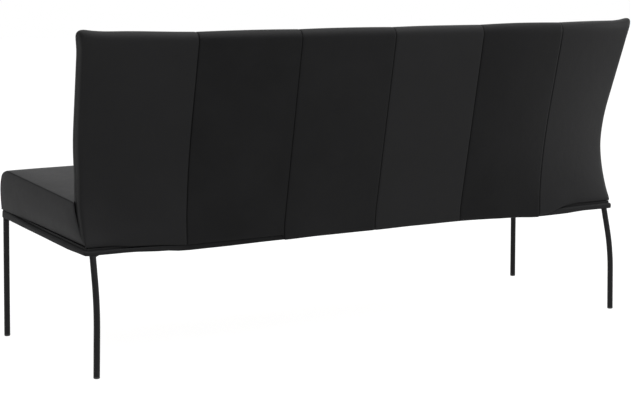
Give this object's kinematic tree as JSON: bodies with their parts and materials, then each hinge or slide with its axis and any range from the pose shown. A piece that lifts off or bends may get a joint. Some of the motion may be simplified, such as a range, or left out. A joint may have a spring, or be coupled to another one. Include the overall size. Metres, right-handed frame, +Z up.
{
  "type": "upholstered dining bench",
  "caption": "Long black leather dining bench with a sloping cushioned seat, a curved backrest of sewn panels and slim round steel legs.",
  "frame": {"origin": "on the floor at the middle of the bench's outline", "axes": "+X along the bench, to the right as seen from in front; -Y the way the seat faces; +Z up"},
  "size_m": [1.808, 0.6768, 0.882],
  "materials": {
    "back_leather": "matt, fine grain",
    "felt": "matt",
    "foam": "matt, open cell",
    "glide_plastic": "matt",
    "leg_paint": "matt powder coat",
    "lining_cloth": "matt",
    "plate_paint": "matt powder coat",
    "plywood": "sanded",
    "screw_steel": "zinc plated",
    "seat_leather": "matt, fine grain",
    "spring_steel": "plain",
    "timber": "planed"
  },
  "bodies": {
    "root": {"back_coach_screws": "screw_steel", "back_cover": "back_leather", "back_foam_front": "foam", "back_foam_rear": "foam", "back_front_panel": "plywood", "back_lumbar_rail": "timber", "back_rear_panel": "plywood", "back_rib_1": "plywood", "back_rib_2": "plywood", "back_rib_3": "plywood", "back_rib_4": "plywood", "back_rib_5": "plywood", "back_rib_6": "plywood", "back_rib_7": "plywood", "back_top_rail": "timber", "base_board": "plywood", "corner_blocks": "timber", "cross_rail_left": "timber", "cross_rail_middle": "timber", "cross_rail_right": "timber", "dust_cover": "lining_cloth", "edge_bead": "seat_leather", "glide_front_left": "glide_plastic", "glide_front_right": "glide_plastic", "glide_rear_left": "glide_plastic", "glide_rear_right": "glide_plastic", "leg_front_left": "leg_paint", "leg_front_right": "leg_paint", "leg_plate_front_left": "plate_paint", "leg_plate_front_right": "plate_paint", "leg_plate_rear_left": "plate_paint", "leg_plate_rear_right": "plate_paint", "leg_plate_screws": "screw_steel", "leg_rear_left": "leg_paint", "leg_rear_right": "leg_paint", "seat_cover": "seat_leather", "seat_foam": "foam", "seat_rail_front": "timber", "seat_rail_left": "timber", "seat_rail_rear": "timber", "seat_rail_right": "timber", "seat_springs": "spring_steel", "spring_clips": "spring_steel", "spring_pad": "felt"}
  },
  "joints": []
}
